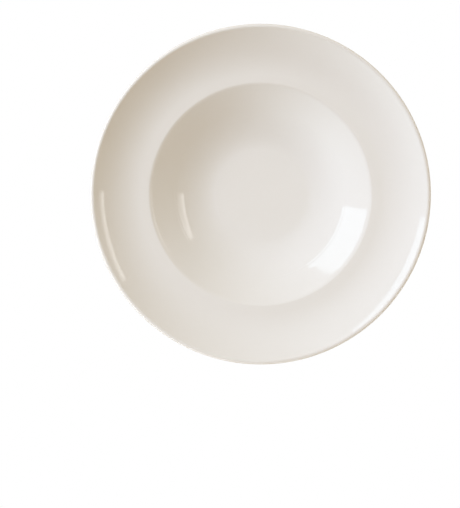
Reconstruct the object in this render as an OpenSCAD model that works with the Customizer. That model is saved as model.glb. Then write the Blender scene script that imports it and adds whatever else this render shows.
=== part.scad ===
// Wide-rimmed pasta plate of glazed hotel china.
// The clay body is pressed and turned in one piece, fired to biscuit, dipped in
// glaze and fired again. The glaze is wiped off the foot before the second
// firing, so a bare stand ring parts the coat in two: one coat over the plate
// and one inside the foot.
// The frame is +Z up, with the origin at the middle of the stand face.

/* [Plate] */
// Diameter over the glaze
plate_d = 300; // [270:1:330]
// Height from the stand face to the top of the lip, over the glaze
plate_h = 54; // [48:0.5:62]
// Thickness of the glaze coat
glaze_t = 0.4; // [0.3:0.05:0.6]

/* [Rim] */
// Thickness of the round lip at the edge of the rim
lip_t = 3.6; // [3:0.1:4.2]
// How far in from the edge the lift of the upper face is centred
turn_inset = 30; // [27:0.5:33]
// How far below the top of the lip the flat shelf would meet the lift
turn_drop = 17.2; // [16.4:0.1:17.4]
// How far in from the edge the lift turns up into the lip
roll_inset = 9.6; // [8:0.1:11]
// How far below the top of the lip the lift turns up into it
roll_drop = 5.5; // [4.8:0.1:6]
// How far in from the edge the under face of the rim turns up
under_inset = 8; // [6:0.5:10]
// How far below the top of the lip the under face turns up
under_drop = 12.8; // [12:0.1:14]

/* [Well] */
// Diameter of the well at its edge
well_d = 196; // [180:1:212]
// How far the edge of the well lies below the top of the lip
well_drop = 17.4; // [16.4:0.1:19]
// Rounding of the edge of the well
edge_round = 5; // [2:0.5:8]
// Width of the sloping wall, seen from above
wall_w = 43; // [38:0.5:47]
// Width of the flowing curve on the floor, inside the foot of the wall
cove_w = 15; // [11:0.5:20]
// Thickness of the floor
floor_t = 4.2; // [3.6:0.1:6]

/* [Bowl outside] */
// How far the shoulder under the rim lies inside the edge of the well
shoulder_inset = 2; // [1:0.5:4]
// How far the shoulder lies below the edge of the well
shoulder_drop = 8.8; // [8:0.1:9.6]
// Hollow rounding of the shoulder
shoulder_round = 6; // [2:0.5:9]
// How far the fullest part of the belly lies inside the shoulder
belly_inset = 12; // [9:0.5:15]
// Height of the fullest part of the belly above the stand face
belly_h = 11.2; // [9:0.1:13]

/* [Foot] */
// Diameter of the foot ring where the bowl meets it
foot_d = 115; // [104:1:126]
// Height of the foot ring on its outer side
foot_h = 3; // [2.6:0.1:4]
// Width of the foot ring at the stand face
foot_w = 4.4; // [3.4:0.1:6]
// Lean of the two sides of the foot ring, in degrees
foot_lean = 10; // [4:1:18]
// Rounding of the two edges of the stand face
foot_round = 0.7; // [0.4:0.1:0.9]
// Hollow rounding where the bowl and the base meet the foot ring
foot_fillet = 1.2; // [0.8:0.1:1.4]
// Height of the recessed base above the stand face
base_h = 2.7; // [2.5:0.1:3.4]
// Height of the wiped band on each side of the foot, above the rounding
wipe_w = 0.3; // [0.2:0.05:0.4]

/* [Hidden] */

// Segments round the plate, and along each curve of its section. The rim is a flat
// shelf for shelf_share of the way from the well to its lift. The lift hands over
// to the turn into the lip at lift_share of the way between them, and the floor's
// curve to the straight wall at cove_share of the wall.
round_steps = 180;
sweep_steps = 16;
shelf_share = 0.36;
lift_share = 0.69;
cove_share = 0.47;
bend_steps = 8;
lip_steps = 20;

// The section is drawn as a list of points [radius, height, heading]. It runs
// clockwise from the middle of the floor, out over the rim, and back under the
// plate to the middle of the base. Heading is the way of travel in degrees.
function heading(p, q) = atan2(q[1] - p[1], q[0] - p[0]);
function along(p, a, d) = [p[0] + d * cos(a), p[1] + d * sin(a)];

// Where the line through p at heading a crosses the height z
function at_height(p, a, z) = [p[0] + (z - p[1]) / tan(a), z];

// The two ends of a run of the section, without their headings
function start_of(run) = [run[0][0], run[0][1]];
function end_of(run) = start_of([run[len(run) - 1]]);

// Circular bend from p, turning from heading a to heading b
function bend(p, a, b, r, n) =
    let (k = b > a ? r : -r)
    [for (i = [0:n])
        let (h = a + (b - a) * i / n)
        [p[0] + k * (sin(h) - sin(a)), p[1] + k * (cos(a) - cos(h)), h]];

// The corner c, rounded, where heading a turns to heading b
function corner(c, a, b, r) =
    bend(along(c, a, -r * tan(abs(b - a) / 2)), a, b, r, bend_steps);

// Flowing curve between p and q that leaves towards c and arrives from it
function sweep(p, c, q) =
    [for (i = [1:sweep_steps - 1])
        let (t = i / sweep_steps,
             s = (1 - t) * (1 - t) * p + 2 * t * (1 - t) * c + t * t * q,
             d = (1 - t) * (c - p) + t * (q - c))
        [s[0], s[1], atan2(d[1], d[0])]];

// Key points of the biscuit section, where its straight lines would meet
lip_r = lip_t / 2;
lip_c = [plate_d / 2 - glaze_t - lip_r, plate_h - glaze_t - lip_r];
turn_up = [plate_d / 2 - turn_inset, plate_h - turn_drop];
roll = [plate_d / 2 - roll_inset, plate_h - roll_drop];
rim_join = turn_up + lift_share * (roll - turn_up);
turn_under = [plate_d / 2 - under_inset, plate_h - under_drop];
edge = [well_d / 2, plate_h - well_drop];
shelf_end = edge + shelf_share * (turn_up - edge);
cove = [edge[0] - wall_w, base_h + floor_t];
floor_end = cove - [cove_w, 0];
wall_end = cove + cove_share * (edge - cove);
shoulder = edge - [shoulder_inset, shoulder_drop];
belly = [shoulder[0] - belly_inset, belly_h];
foot_top = [foot_d / 2, foot_h];

// Headings of the lines between the key points. Those on the under side run
// inwards, so they are turned back by half a turn.
back = -180;
wall_a = heading(cove, edge);
rim_a = heading(edge, turn_up);
lift_a = heading(turn_up, roll);
lip_in_a = heading(roll, lip_c) + asin(lip_r / norm(lip_c - roll));
lip_out_a = heading(turn_under, lip_c) - asin(lip_r / norm(lip_c - turn_under)) + back;
under_a = heading(shoulder, turn_under) + back;
bowl_a = heading(belly, shoulder) + back;
belly_a = heading(foot_top, belly) + back;
foot_out_a = -90 - foot_lean;
foot_in_a = -270 + foot_lean;

// Corners of the foot ring at the stand face and under the base
stand_out = at_height(foot_top, foot_out_a, 0);
stand_in = stand_out - [foot_w, 0];
base_edge = at_height(stand_in, foot_in_a, base_h);

// The lip and the rounded corners
lip_bend = bend(along(lip_c, lip_in_a + 90, lip_r), lip_in_a, lip_out_a, lip_r, lip_steps);
edge_bend = corner(edge, wall_a, rim_a, edge_round);
shoulder_bend = corner(shoulder, under_a, bowl_a, shoulder_round);
foot_bend = corner(foot_top, belly_a, foot_out_a, foot_fillet);
stand_out_bend = corner(stand_out, foot_out_a, back, foot_round);
stand_in_bend = corner(stand_in, back, foot_in_a, foot_round);
base_bend = corner(base_edge, foot_in_a, back, foot_fillet);

// The flowing curves between them
wall_sweep = concat(
    sweep(floor_end, cove, wall_end),
    [[wall_end[0], wall_end[1], wall_a]]);
rim_sweep = concat(
    [[shelf_end[0], shelf_end[1], rim_a]],
    sweep(shelf_end, turn_up, rim_join),
    [[rim_join[0], rim_join[1], lift_a]],
    sweep(rim_join, roll, start_of(lip_bend)));
under_sweep = sweep(end_of(lip_bend), turn_under, start_of(shoulder_bend));
bowl_sweep = sweep(end_of(shoulder_bend), belly, start_of(foot_bend));

// Ends of the glaze on the two sides of the foot ring
wipe_z = start_of(stand_out_bend)[1] + wipe_w;
wipe_out = at_height(foot_top, foot_out_a, wipe_z);
wipe_in = at_height(stand_in, foot_in_a, wipe_z);

// The three runs of the section: under the coat, bare, and under the base glaze
coat_run = concat(
    [[0, cove[1], 0], [floor_end[0], cove[1], 0]],
    wall_sweep, edge_bend, rim_sweep, lip_bend,
    under_sweep, shoulder_bend, bowl_sweep, foot_bend,
    [[wipe_out[0], wipe_out[1], foot_out_a]]);
bare_run = concat(stand_out_bend, stand_in_bend);
base_run = concat(
    [[wipe_in[0], wipe_in[1], foot_in_a]],
    base_bend,
    [[0, base_h, back]]);

// A run moved outwards by d, square to its own heading
function moved(run, d) = [for (p = run) [p[0] - d * sin(p[2]), p[1] + d * cos(p[2])]];
function reversed(run) = [for (i = [len(run) - 1:-1:0]) run[i]];

// A coat of glaze that lies on a run of the section
module coat(run) {
    rotate_extrude($fn = round_steps)
        polygon(concat(moved(run, glaze_t), moved(reversed(run), 0)));
}

// The fired clay body, bare only on its stand ring
module biscuit_body() {
    color("#d9cdb9")
        rotate_extrude($fn = round_steps)
            polygon(moved(concat(coat_run, bare_run, base_run), 0));
}

// The glaze over the well, the rim, the lip and the outside, down to the foot
module glaze_coat() {
    color("#f1ebe1") coat(coat_run);
}

// The glaze on the recessed base inside the foot ring
module base_glaze() {
    color("#efe8dd") coat(base_run);
}

biscuit_body();
glaze_coat();
base_glaze();
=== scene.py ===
import math

import bpy
import numpy as np
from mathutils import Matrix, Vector


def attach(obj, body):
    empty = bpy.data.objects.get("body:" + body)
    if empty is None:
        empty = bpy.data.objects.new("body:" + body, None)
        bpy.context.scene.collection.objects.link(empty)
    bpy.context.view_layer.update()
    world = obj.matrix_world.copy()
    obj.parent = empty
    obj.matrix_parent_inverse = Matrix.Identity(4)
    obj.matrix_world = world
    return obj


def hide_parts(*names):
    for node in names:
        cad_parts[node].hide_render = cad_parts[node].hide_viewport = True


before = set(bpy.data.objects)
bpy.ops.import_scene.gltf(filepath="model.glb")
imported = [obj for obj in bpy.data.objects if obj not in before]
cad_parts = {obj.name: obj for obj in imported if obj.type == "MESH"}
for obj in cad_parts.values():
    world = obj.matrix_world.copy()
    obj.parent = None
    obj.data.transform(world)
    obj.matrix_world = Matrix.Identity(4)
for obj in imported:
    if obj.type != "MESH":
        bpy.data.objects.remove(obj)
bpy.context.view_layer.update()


# Clay body: the plate itself, vitrified hotel china pressed on a turning head.
# It is fired once to biscuit. Only its stand ring stays bare; the rest carries
# the glaze. The body is drawn whole, as one section turned round the axis.
MM = 0.001
ROUND = 360
PLATE_R, PLATE_H = 150.0, 54.0
GLAZE_T = 0.4
LIP_R = 1.8
TURN_INSET, TURN_DROP = 30.0, 17.2
ROLL_INSET, ROLL_DROP = 9.6, 5.5
UNDER_INSET, UNDER_DROP = 8.0, 12.8
WELL_R, WELL_DROP = 98.0, 17.4
EDGE_DOWN, EDGE_OVER = 3.2, 1.2
WALL_W, COVE_W, FLOOR_T = 43.0, 15.0, 4.2
SHOULDER_INSET, SHOULDER_DROP, SHOULDER_ROUND = 2.0, 8.8, 6.0
BELLY_INSET, BELLY_H = 12.0, 11.2
FOOT_R, FOOT_H, FOOT_W, FOOT_LEAN = 57.5, 3.0, 4.4, 10.0
FOOT_ROUND, FOOT_FILLET = 0.7, 1.2
BASE_H, WIPE_W = 2.7, 0.3

# Shares of the way at which the flat of the rim starts to lift, the lift hands over to the
# turn into the lip, and the floor's curve hands over to the straight wall
SHELF_SHARE, LIFT_SHARE, COVE_SHARE = 0.36, 0.69, 0.47

# Rows along each stretch of the section. The foot of the wall has close rows for its grooves.
FLOOR_ROWS, COVE_ROWS, COVE_END_ROWS, WALL_FOOT_ROWS, WALL_ROWS = 7, 22, 6, 9, 4
EDGE_ROWS, RIM_ROWS, ROLL_ROWS, LIP_ROWS, UNDER_ROWS = 13, 20, 14, 25, 30
SHOULDER_ROWS, BOWL_ROWS, FOOT_ROWS, RING_ROWS, RECESS_ROWS = 11, 48, 8, 7, 72
WALL_FOOT_SHARE = 0.1

# Key points of the section, as radius and height, where its straight lines would meet
LIP_C = np.array([PLATE_R - GLAZE_T - LIP_R, PLATE_H - GLAZE_T - LIP_R])
TURN_UP = np.array([PLATE_R - TURN_INSET, PLATE_H - TURN_DROP])
ROLL = np.array([PLATE_R - ROLL_INSET, PLATE_H - ROLL_DROP])
RIM_JOIN = TURN_UP + LIFT_SHARE * (ROLL - TURN_UP)
TURN_UNDER = np.array([PLATE_R - UNDER_INSET, PLATE_H - UNDER_DROP])
EDGE = np.array([WELL_R, PLATE_H - WELL_DROP])
SHELF_END = EDGE + SHELF_SHARE * (TURN_UP - EDGE)
COVE = np.array([EDGE[0] - WALL_W, BASE_H + FLOOR_T])
FLOOR_END = COVE - (COVE_W, 0.0)
WALL_END = COVE + COVE_SHARE * (EDGE - COVE)
SHOULDER = EDGE - (SHOULDER_INSET, SHOULDER_DROP)
BELLY = np.array([SHOULDER[0] - BELLY_INSET, BELLY_H])
FOOT_TOP = np.array([FOOT_R, FOOT_H])
BACK = -180.0


def heading(p, q):
    """Direction of travel from p to q, in degrees."""
    return math.degrees(math.atan2(q[1] - p[1], q[0] - p[0]))


def along(p, a, d):
    """The point at distance d from p, in heading a."""
    return np.array([p[0] + d * math.cos(math.radians(a)), p[1] + d * math.sin(math.radians(a))])


def at_height(p, a, z):
    """Where the line through p in heading a crosses the height z."""
    return np.array([p[0] + (z - p[1]) / math.tan(math.radians(a)), z])


def row(p, a):
    """One row of a run of the section: radius, height and heading, in which p is passed."""
    return np.array([[*p, a]])


def straight(p, q, a, share):
    """Rows in heading a at the given shares of the straight way from p to q."""
    return np.c_[np.array(p) + share[:, None] * np.subtract(q, p), np.full(len(share), a)]


def between(first, last, n):
    """Even steps from one row to another, heading too, without the two rows themselves."""
    return first + np.linspace(0, 1, n + 2)[1:-1, None] * (last - first)


def bend(p, a, b, r, n):
    """Circular arc from p of radius r, turning evenly from heading a to heading b, as rows."""
    k = r if b > a else -r
    a0 = math.radians(a)
    h = np.radians(np.linspace(a, b, n))
    radius = p[0] + k * (np.sin(h) - math.sin(a0))
    height = p[1] + k * (math.cos(a0) - np.cos(h))
    return np.c_[radius, height, np.degrees(h)]


def rounded(c, a, b, r, n):
    """Corner c between headings a and b, cut by an arc of radius r tangent to both."""
    return bend(along(c, a, -r * math.tan(math.radians(abs(b - a) / 2))), a, b, r, n)


def flow(p, c, q, n):
    """Parabola from p to q whose two end tangents meet in c, without its end points."""
    t = np.linspace(0, 1, n + 2)[1:-1, None]
    s = (1 - t) ** 2 * p + 2 * t * (1 - t) * c + t * t * q
    d = (1 - t) * (c - p) + t * (q - c)
    return np.c_[s, np.degrees(np.arctan2(d[:, 1], d[:, 0]))]


def tangent(p, side):
    """Heading of the line from p that touches the lip on its left (+1) or right (-1) side."""
    return heading(p, LIP_C) + side * math.degrees(math.asin(LIP_R / np.linalg.norm(LIP_C - p)))


# Headings on the under side run inwards, so they are turned back by half a turn
rim_a, wall_a = heading(EDGE, TURN_UP), heading(COVE, EDGE)
lip_in_a, lip_out_a = tangent(ROLL, 1), tangent(TURN_UNDER, -1) + BACK
under_a, bowl_a = heading(SHOULDER, TURN_UNDER) + BACK, heading(BELLY, SHOULDER) + BACK
belly_a = heading(FOOT_TOP, BELLY) + BACK
foot_out_a, foot_in_a = -90 - FOOT_LEAN, -270 + FOOT_LEAN
stand_out = at_height(FOOT_TOP, foot_out_a, 0.0)
stand_in = stand_out - (FOOT_W, 0.0)
base_edge = at_height(stand_in, foot_in_a, BASE_H)
edge_in, edge_out = along(EDGE, wall_a, -EDGE_DOWN), along(EDGE, rim_a, EDGE_OVER)

lip = bend(along(LIP_C, lip_in_a + 90, LIP_R), lip_in_a, lip_out_a, LIP_R, LIP_ROWS)
shoulder = rounded(SHOULDER, under_a, bowl_a, SHOULDER_ROUND, SHOULDER_ROWS)
foot = rounded(FOOT_TOP, belly_a, foot_out_a, FOOT_FILLET, FOOT_ROWS)
ring_out = rounded(stand_out, foot_out_a, BACK, FOOT_ROUND, RING_ROWS)
ring_in = rounded(stand_in, BACK, foot_in_a, FOOT_ROUND, RING_ROWS)
base = rounded(base_edge, foot_in_a, BACK, FOOT_FILLET, FOOT_ROWS)
under_rim = flow(lip[-1, :2], TURN_UNDER, shoulder[0, :2], UNDER_ROWS)
bowl = flow(shoulder[-1, :2], BELLY, foot[0, :2], BOWL_ROWS)
cove_rows = flow(FLOOR_END, COVE, WALL_END, COVE_ROWS)
wall_share = np.r_[np.linspace(0, WALL_FOOT_SHARE, WALL_FOOT_ROWS),
                   np.linspace(WALL_FOOT_SHARE, 1, WALL_ROWS + 2)[1:-1]]
recess_share = np.linspace(0, 1, RECESS_ROWS + 1)[1:]
wipe_z = ring_out[0, 1] + WIPE_W

# The section's runs: the coat's from the middle of the floor over the lip to the wiped line,
# the bare stand ring's, and the base's from the wiped line to the middle of the recess
upper_side = np.vstack([
    straight((0.0, COVE[1]), FLOOR_END, 0.0, np.linspace(0, 1, FLOOR_ROWS)),
    cove_rows, between(cove_rows[-1], row(WALL_END, wall_a)[0], COVE_END_ROWS),
    straight(WALL_END, edge_in, wall_a, wall_share),
    row(edge_in, wall_a), flow(edge_in, EDGE, edge_out, EDGE_ROWS), row(edge_out, rim_a),
    row(SHELF_END, rim_a), flow(SHELF_END, TURN_UP, RIM_JOIN, RIM_ROWS),
    row(RIM_JOIN, heading(TURN_UP, ROLL)), flow(RIM_JOIN, ROLL, lip[0, :2], ROLL_ROWS), lip])
coat_run = np.vstack([
    upper_side, under_rim, shoulder, bowl, foot,
    row(at_height(FOOT_TOP, foot_out_a, wipe_z), foot_out_a)])
bare_run = np.vstack([ring_out, ring_in])
base_run = np.vstack([
    row(at_height(stand_in, foot_in_a, wipe_z), foot_in_a), base,
    straight(base[-1, :2], (0.0, BASE_H), BACK, recess_share)])


def moved(run, d):
    """The run pushed outwards by d millimetres, square to its heading."""
    h = np.radians(run[:, 2])
    return np.c_[run[:, 0] - d * np.sin(h), run[:, 1] + d * np.cos(h)]


def turned(name, r, z, thinning_and_shade=None):
    """Surface of revolution. Row i, column j lies at radius r[i, j] and height z[i, j], in
    millimetres, at the angle j / ROUND of a full turn. The first and last rows are single
    points on the axis. A value for each row may give the share of a warmer tone there: glaze
    running thinner, and painted shade on the lip's outer side."""
    rows = len(r)
    r, z = np.broadcast_to(r, (rows, ROUND)), np.broadcast_to(z, (rows, ROUND))
    angle = np.arange(ROUND) * (2 * np.pi / ROUND)
    ring = np.stack([r * np.cos(angle), r * np.sin(angle), z], -1)[1:-1].reshape(-1, 3)
    poles = [[0, 0, z[0, 0]], [0, 0, z[-1, 0]]]
    j = np.arange(ROUND)
    k = (j + 1) % ROUND
    i = np.arange(rows - 3)[:, None] * ROUND
    quads = np.stack([i + j, i + ROUND + j, i + ROUND + k, i + k], -1).reshape(-1, 4)
    top, bottom, last = len(ring), len(ring) + 1, (rows - 3) * ROUND
    first_cap = np.c_[np.full(ROUND, top), j, k]
    last_cap = np.c_[last + j, np.full(ROUND, bottom), last + k]
    mesh = bpy.data.meshes.new(name)
    mesh.from_pydata(np.r_[ring, poles] * MM, [],
                     quads.tolist() + first_cap.tolist() + last_cap.tolist())
    mesh.polygons.foreach_set("use_smooth", np.ones(len(mesh.polygons), bool))
    # Share of the warmer tone for each row: glaze running thinner, and painted shade at the lip's
    # outer edge
    if thinning_and_shade is not None:
        layer = mesh.attributes.new("glaze_thinning_and_shade", "FLOAT", "POINT")
        values = np.r_[np.repeat(thinning_and_shade[1:-1], ROUND), thinning_and_shade[0], thinning_and_shade[-1]]
        layer.data.foreach_set("value", values.astype(np.float32))
    piece = bpy.data.objects.new(name, mesh)
    bpy.context.scene.collection.objects.link(piece)
    return piece


def linear(code):
    """sRGB hex colour as linear RGBA."""
    c = np.array([int(code[i:i + 2], 16) for i in (1, 3, 5)]) / 255
    return (*np.where(c <= 0.04045, c / 12.92, ((c + 0.055) / 1.055) ** 2.4), 1.0)


def add(tree, kind, sockets=None, **settings):
    """Adds one node, with its settings, and sets or links its input sockets."""
    made = tree.nodes.new(kind)
    for key, value in settings.items():
        setattr(made, key, value)
    for key, value in (sockets or {}).items():
        if isinstance(value, bpy.types.NodeSocket):
            tree.links.new(value, made.inputs[key])
        else:
            made.inputs[key].default_value = value
    return made


def per_metre(size_mm):
    """Texture scale at which one feature of a pattern is size_mm across."""
    return 1 / (size_mm * MM)


def fired_clay():
    """Bare vitrified china: matte, fine-grained, rubbed smooth on the stand face, with a few
    dark iron specks. The grain is drawn coarser than the real one, so that it shows."""
    grain_mm, cloud_mm = 0.5, 9.0
    material = bpy.data.materials.new("fired_clay_bare")
    material.use_nodes = True
    tree = material.node_tree
    shader = tree.nodes["Principled BSDF"]
    place = add(tree, "ShaderNodeTexCoord").outputs["Object"]
    grain = add(tree, "ShaderNodeTexNoise", {
        "Vector": place, "Scale": per_metre(grain_mm), "Detail": 3.0}).outputs["Fac"]
    cloud = add(tree, "ShaderNodeTexNoise", {
        "Vector": place, "Scale": per_metre(cloud_mm), "Detail": 2.0}).outputs["Fac"]
    tone = add(tree, "ShaderNodeMix", {
        "Factor": cloud, "A": linear("#ece5d8"), "B": linear("#e2d9c9")}, data_type="RGBA")
    speck = add(tree, "ShaderNodeMapRange", {
        "Value": grain, "From Min": 0.66, "From Max": 0.72})
    colour = add(tree, "ShaderNodeMix", {
        "Factor": speck.outputs["Result"], "A": tone.outputs["Result"], "B": linear("#c2b499")},
        data_type="RGBA")
    rough = add(tree, "ShaderNodeMapRange", {"Value": grain, "To Min": 0.72, "To Max": 0.9})
    bump = add(tree, "ShaderNodeBump", {"Height": grain, "Strength": 0.6, "Distance": 0.08 * MM})
    tree.links.new(colour.outputs["Result"], shader.inputs["Base Color"])
    tree.links.new(rough.outputs["Result"], shader.inputs["Roughness"])
    tree.links.new(bump.outputs["Normal"], shader.inputs["Normal"])
    shader.inputs["IOR"].default_value = 1.5
    return material


# Under the glaze every second row is enough
body_rows = moved(np.vstack([
    coat_run[:-1:2], coat_run[-1:], bare_run, base_run[:len(base) + 1], base_run[-1:]]), 0.0)
clay_body = turned("clay_body", body_rows[:, :1], body_rows[:, 1:])
clay_body.data.materials.append(fired_clay())
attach(clay_body, "root")
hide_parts("biscuit_body")


# Glaze coat: a clear cream glaze, dipped on and fired to a wet gloss. It covers
# the well, the rim, the lip and the outside, and ends in a small bead at
# the wiped line on the foot. Round the lip's outer edge its colour turns warmer
# and darker: partly the glaze running thinner, partly painted shade of the
# lip's outer side.
RIM_MARK, RIM_PITCH = 0.02, 5.0
BOWL_MARK, BOWL_PITCH = 0.06, 5.5
GROOVES, GROOVE_DEPTH, GROOVE_W = (-1.2, 1.5), 0.03, 0.6
# Warmer, darker band round the lip's outer edge: partly the glaze running thinner, partly painted
# shade of the lip's outer side
THINNING_AND_SHADE_SHARE, THINNING_AND_SHADE_R, THINNING_AND_SHADE_W = 0.15, 149.8, 0.8
BACK_STEP = 6
THINNING_AND_SHADE_TONE = "#dccdb2"


def bead(run, end):
    """Half-round end of a coat, from its outer to its inner face, round the middle of its
    thickness."""
    h = np.radians(run[end, 2]) + np.linspace(0, np.pi, 7)[1:-1] * (-1 if end else 1)
    middle = moved(run[[end]], GLAZE_T / 2)[0]
    return np.c_[middle[0] - GLAZE_T / 2 * np.sin(h), middle[1] + GLAZE_T / 2 * np.cos(h)]


def way_along(run):
    """Length of the section from its first row to each row, in millimetres."""
    return np.r_[0, np.cumsum(np.hypot(np.diff(run[:, 0]), np.diff(run[:, 1])))][:, None]


def turning_marks(run, first, last, size, pitch):
    """Height of the marks that the turning tool leaves between two rows: two sine waves along
    the section, of the given size and of one and of 1.7 times the given pitch. Their phase
    wanders round the plate, as the hand or the head gives a little, and they fade out at both
    ends as half a sine."""
    turn = np.arange(ROUND) * (2 * np.pi / ROUND)
    wander = 1.3 * np.sin(2 * turn + 0.4) + 0.8 * np.sin(5 * turn + 1.9) + 0.5 * np.sin(11 * turn)
    s = way_along(run)
    fade = np.sin(np.pi * np.clip((s - s[first]) / (s[last] - s[first]), 0, 1))
    fine = np.sin(2 * np.pi * s / pitch + wander)
    wide = np.sin(2 * np.pi * s / (1.7 * pitch) - 1.4 * wander)
    return size * fade * (0.6 * fine + 0.4 * wide)


def outer_face(run, marks):
    """Radii and heights of a coat's outer face: the run pushed out by the coat's thickness, and
    at each angle by the marks as well, square to its heading."""
    square = np.radians(run[:, 2:])
    face = moved(run, GLAZE_T)
    return face[:, :1] - np.sin(square) * marks, face[:, 1:] + np.cos(square) * marks


def even_face(rows):
    """Radii and heights of rows that are the same at every angle."""
    return np.repeat(rows[:, :1], ROUND, 1), np.repeat(rows[:, 1:], ROUND, 1)


def cream_glaze(name, light, deep):
    """Cream glaze over white china: glossy, IOR 1.5, with a soft cloudiness, pinhead mottling,
    a faint orange peel, and a warmer, darker tone at the lip's outer edge, partly glaze running
    thinner and partly painted shade."""
    cloud_mm, mottle_mm, peel_mm = 40.0, 2.2, 5.0
    material = bpy.data.materials.new(name)
    material.use_nodes = True
    tree = material.node_tree
    shader = tree.nodes["Principled BSDF"]
    place = add(tree, "ShaderNodeTexCoord").outputs["Object"]
    cloud = add(tree, "ShaderNodeTexNoise", {
        "Vector": place, "Scale": per_metre(cloud_mm), "Detail": 3.0}).outputs["Fac"]
    mottle = add(tree, "ShaderNodeTexNoise", {
        "Vector": place, "Scale": per_metre(mottle_mm), "Detail": 2.0}).outputs["Fac"]
    peel = add(tree, "ShaderNodeTexNoise", {
        "Vector": place, "Scale": per_metre(peel_mm), "Detail": 1.0}).outputs["Fac"]
    blend = add(tree, "ShaderNodeMix", {"Factor": 0.35, "A": cloud, "B": mottle})
    tone = add(tree, "ShaderNodeMix", {
        "Factor": blend.outputs["Result"], "A": linear(light), "B": linear(deep)},
        data_type="RGBA")
    # Painted shade: this share darkens the lip's outer edge towards the tan tone, besides showing
    # the thinner glaze
    thinning_and_shade_share = add(tree, "ShaderNodeAttribute", attribute_name="glaze_thinning_and_shade")
    colour = add(tree, "ShaderNodeMix", {
        "Factor": thinning_and_shade_share.outputs["Fac"], "A": tone.outputs["Result"], "B": linear(THINNING_AND_SHADE_TONE)},
        data_type="RGBA")
    rough = add(tree, "ShaderNodeMapRange", {"Value": mottle, "To Min": 0.04, "To Max": 0.07})
    bump = add(tree, "ShaderNodeBump", {"Height": peel, "Strength": 0.12, "Distance": 0.03 * MM})
    tree.links.new(colour.outputs["Result"], shader.inputs["Base Color"])
    tree.links.new(rough.outputs["Result"], shader.inputs["Roughness"])
    tree.links.new(bump.outputs["Normal"], shader.inputs["Normal"])
    shader.inputs["IOR"].default_value = 1.5
    return material


under_first = len(upper_side)
shoulder_first = under_first + len(under_rim)
bowl_first = shoulder_first + len(shoulder)
shoulder_middle = shoulder_first + (len(shoulder) + 1) // 2
marks = (turning_marks(coat_run, under_first, bowl_first, RIM_MARK, RIM_PITCH)
         + turning_marks(coat_run, shoulder_middle, -2, BOWL_MARK, BOWL_PITCH))
way_out = way_along(coat_run)
wall_foot = way_out[np.hypot(*(coat_run[:, :2] - WALL_END).T).argmin()]
for groove in GROOVES:
    marks = marks - GROOVE_DEPTH * np.exp(-((way_out - wall_foot - groove) / GROOVE_W) ** 2)
coat_back = np.vstack([
    bead(coat_run, -1), moved(coat_run[:0:-BACK_STEP], 0.0), [[0.0, COVE[1]]]])
coat_r, coat_z = map(np.vstack, zip(outer_face(coat_run, marks), even_face(coat_back)))
# Narrow band of painted shade and thinner glaze at the lip's outer edge
coat_thinning_and_shade = THINNING_AND_SHADE_SHARE * np.exp(-((moved(coat_run, GLAZE_T)[:, 0] - THINNING_AND_SHADE_R) / THINNING_AND_SHADE_W) ** 2)
glaze_coat = turned("cream_glaze_coat", coat_r, coat_z, np.r_[coat_thinning_and_shade, np.zeros(len(coat_back))])
glaze_coat.data.materials.append(cream_glaze("cream_glaze_on_china", "#ede8e1", "#e9e4dc"))
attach(glaze_coat, "root")
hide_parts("glaze_coat")


# Base glaze: the same glaze on the shallow recess inside the foot ring, with
# the fine rings of the turning tool under it. It is parted from the coat by the
# wiped stand ring, and is left plain.
BASE_MARK, BASE_PITCH = 0.02, 3.2

rings = turning_marks(base_run, len(base), -1, BASE_MARK, BASE_PITCH)
base_back = np.vstack([moved(base_run[::-1], 0.0), bead(base_run, 0)[::-1]])
base_r, base_z = map(np.vstack, zip(even_face(base_back), outer_face(base_run, rings)))
base_glaze = turned("foot_recess_glaze", base_r, base_z, np.zeros(len(base_r)))
base_glaze.data.materials.append(cream_glaze("cream_glaze_in_foot", "#eee8df", "#e9e1d5"))
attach(base_glaze, "root")
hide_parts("base_glaze")


# Studio floor: a wide white sweep of card, lit so evenly that it shows as plain
# white to the eye and in reflections. The shade under the plate is a narrow one
# to the eye, and reaches further out in reflections.
FLOOR_HALF = 8.0
SHADE_TO_EYE, SHADE_IN_GLOSS = 0.007, 0.045

floor_mesh = bpy.data.meshes.new("studio_floor")
floor_mesh.from_pydata(
    [(x * FLOOR_HALF, y * FLOOR_HALF, 0) for x, y in ((-1, -1), (1, -1), (1, 1), (-1, 1))],
    [], [(0, 1, 2, 3)])
studio_floor = bpy.data.objects.new("studio_floor", floor_mesh)
bpy.context.scene.collection.objects.link(studio_floor)
card = bpy.data.materials.new("white_card")
card.use_nodes = True
card_tree = card.node_tree
card_tree.nodes.clear()
ray = add(card_tree, "ShaderNodeLightPath").outputs
mirrored = add(card_tree, "ShaderNodeMath", {
    0: ray["Is Camera Ray"], 1: ray["Is Glossy Ray"]}, operation="MAXIMUM").outputs[0]
pictured = add(card_tree, "ShaderNodeMath", {
    0: mirrored, 1: ray["Is Transmission Ray"]}, operation="MAXIMUM").outputs[0]
bounce = add(card_tree, "ShaderNodeBsdfDiffuse", {"Color": linear("#f3f3f3")})
reach = add(card_tree, "ShaderNodeMapRange", {
    "Value": ray["Is Camera Ray"], "To Min": SHADE_IN_GLOSS, "To Max": SHADE_TO_EYE})
open_sky = add(card_tree, "ShaderNodeAmbientOcclusion", {
    "Distance": reach.outputs["Result"]}, samples=16)
shade = add(card_tree, "ShaderNodeMapRange", {
    "Value": open_sky.outputs["AO"], "From Min": 0.05, "From Max": 0.55, "To Min": 0.30})
lit = add(card_tree, "ShaderNodeEmission", {
    "Color": linear("#ffffff"), "Strength": shade.outputs["Result"]})
both = add(card_tree, "ShaderNodeMixShader", {
    0: pictured, 1: bounce.outputs[0], 2: lit.outputs[0]})
add(card_tree, "ShaderNodeOutputMaterial", {"Surface": both.outputs[0]})
floor_mesh.materials.append(card)


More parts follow.
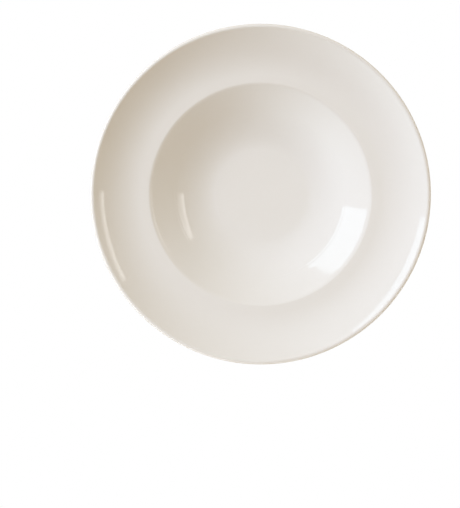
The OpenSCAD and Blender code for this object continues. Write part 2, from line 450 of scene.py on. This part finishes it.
# Studio light: a warm, even room with a cool light high on the left and a wide
# one high at the back. Seen directly the room is plain white; in the gloss it
# grows brighter down to the horizon, on the near left.
ROOM = (0.306, 0.183, 0.0)
LEFT_LIGHT, BACK_LIGHT = (2.54, 3.10, 4.25), (0.85, 0.99, 1.12)
HORIZON_GLOW, GLOW_TOP = (3.9, 4.6, 5.0), 0.95
WHITE = (1.0, 1.0, 1.0)

world = bpy.data.worlds.new("studio")
bpy.context.scene.world = world
world.use_nodes = True
sky_tree = world.node_tree
sky_tree.nodes.clear()
way = add(sky_tree, "ShaderNodeTexCoord").outputs["Generated"]


def lobe(azimuth, elevation, focus):
    """Cosine of the angle between the way and an aim in degrees, cut off at nought and raised
    to a power."""
    a, e = math.radians(azimuth), math.radians(elevation)
    aim = (math.cos(a) * math.cos(e), math.sin(a) * math.cos(e), math.sin(e))
    side = add(sky_tree, "ShaderNodeVectorMath", {0: way, 1: aim}, operation="DOT_PRODUCT")
    front = add(sky_tree, "ShaderNodeMath", {0: side.outputs["Value"], 1: 0.0},
                operation="MAXIMUM")
    return add(sky_tree, "ShaderNodeMath", {0: front.outputs[0], 1: focus},
               operation="POWER").outputs[0]


def brighter(light, colour, share):
    """The light so far, plus a share of a colour."""
    glow = add(sky_tree, "ShaderNodeVectorMath", {0: colour, "Scale": share}, operation="SCALE")
    return add(sky_tree, "ShaderNodeVectorMath", {0: glow.outputs[0], 1: light},
               operation="ADD").outputs[0]


room = brighter(ROOM, LEFT_LIGHT, lobe(azimuth=170, elevation=50, focus=10.7))
room = brighter(room, BACK_LIGHT, lobe(azimuth=103, elevation=50, focus=2.7))
rise = add(sky_tree, "ShaderNodeSeparateXYZ", {"Vector": way}).outputs["Z"]
low = add(sky_tree, "ShaderNodeMapRange", {
    "Value": rise, "From Max": GLOW_TOP, "To Min": 1.0, "To Max": 0.0})
near_left = add(sky_tree, "ShaderNodeMath", {
    0: lobe(azimuth=226, elevation=0, focus=2.0), 1: low.outputs["Result"]}, operation="MULTIPLY")
gloss = brighter(WHITE, HORIZON_GLOW, near_left.outputs[0])
sky_ray = add(sky_tree, "ShaderNodeLightPath").outputs
direct = add(sky_tree, "ShaderNodeMath", {
    0: sky_ray["Is Camera Ray"], 1: sky_ray["Is Transmission Ray"]}, operation="MAXIMUM")
room_sky = add(sky_tree, "ShaderNodeBackground", {"Color": room, "Strength": 1.0})
gloss_sky = add(sky_tree, "ShaderNodeBackground", {"Color": gloss, "Strength": 1.0})
white_sky = add(sky_tree, "ShaderNodeBackground", {"Color": (*WHITE, 1.0), "Strength": 1.0})
light_sky = add(sky_tree, "ShaderNodeMixShader", {
    0: sky_ray["Is Glossy Ray"], 1: room_sky.outputs[0], 2: gloss_sky.outputs[0]})
whole_sky = add(sky_tree, "ShaderNodeMixShader", {
    0: direct.outputs[0], 1: light_sky.outputs[0], 2: white_sky.outputs[0]})
add(sky_tree, "ShaderNodeOutputWorld", {"Surface": whole_sky.outputs[0]})


# Studio lamps: flat upright panels. The window on the far left and the strip on
# the right are images in the gloss alone, because the room has their light. The
# cards stand low by the floor and light the lip's outer side.
CARD_WHITE = (0.9, 0.96, 1.0)


def panel(name, middle, facing, width, height, radiance, colour=WHITE, lights_matte=False):
    """Flat upright lamp at a place in metres, facing an azimuth in degrees. Its power is the
    radiance times pi times its area, so that radiance 1 is plain white."""
    lamp = bpy.data.lights.new(name, "AREA")
    lamp.shape = "RECTANGLE"
    lamp.size, lamp.size_y = width, height
    lamp.energy = radiance * math.pi * width * height
    lamp.color = colour
    a = math.radians(facing)
    box = bpy.data.objects.new(name, lamp)
    box.location = middle
    box.visible_diffuse = lights_matte
    box.rotation_euler = Vector((-math.cos(a), -math.sin(a), 0)).to_track_quat("Z", "Y").to_euler()
    bpy.context.scene.collection.objects.link(box)


panel("window_light", (-2.518, 1.776, 0.998), facing=338, width=2.792, height=0.885,
      radiance=3.0, colour=(0.66, 0.85, 1.0))
panel("far_strip", (1.370, 0.437, 0.795), facing=183, width=0.88, height=0.09, radiance=3.6)
panel("far_strip_foot", (1.370, 0.437, 0.725), facing=183, width=0.88, height=0.05, radiance=1.7)
panel("left_card", (-0.55, -0.33, 0.027), facing=31, width=1.5, height=0.05,
      radiance=7.0, colour=CARD_WHITE, lights_matte=True)
panel("back_card", (-0.565, 0.326, 0.027), facing=330, width=0.6, height=0.05,
      radiance=5.0, colour=CARD_WHITE, lights_matte=True)
panel("front_card", (0.33, -0.57, 0.025), facing=120, width=1.2, height=0.046,
      radiance=5.2, colour=(0.82, 0.92, 1.0), lights_matte=True)


# Camera: a long lens straight above the plate, which sits high in the frame. The
# plate's middle and radius in image pixels give the camera's place and distance.
LENS, SENSOR = 300.0, 36.0
IMAGE_W, IMAGE_H = 460, 508
PLATE_X, PLATE_Y, PLATE_PX = 260.5, 194.1, 170.4
CLIP_END = 100
metres_per_px = PLATE_R * MM / PLATE_PX
distance = LENS / SENSOR * IMAGE_H * metres_per_px
lens = bpy.data.cameras.new("camera")
lens.lens, lens.sensor_width, lens.clip_end = LENS, SENSOR, CLIP_END
camera = bpy.data.objects.new("camera", lens)
camera.location = ((IMAGE_W / 2 - PLATE_X) * metres_per_px,
                   (PLATE_Y - IMAGE_H / 2) * metres_per_px,
                   LIP_C[1] * MM + distance)
bpy.context.scene.collection.objects.link(camera)
bpy.context.scene.camera = camera
bpy.context.scene.view_settings.view_transform = "Standard"
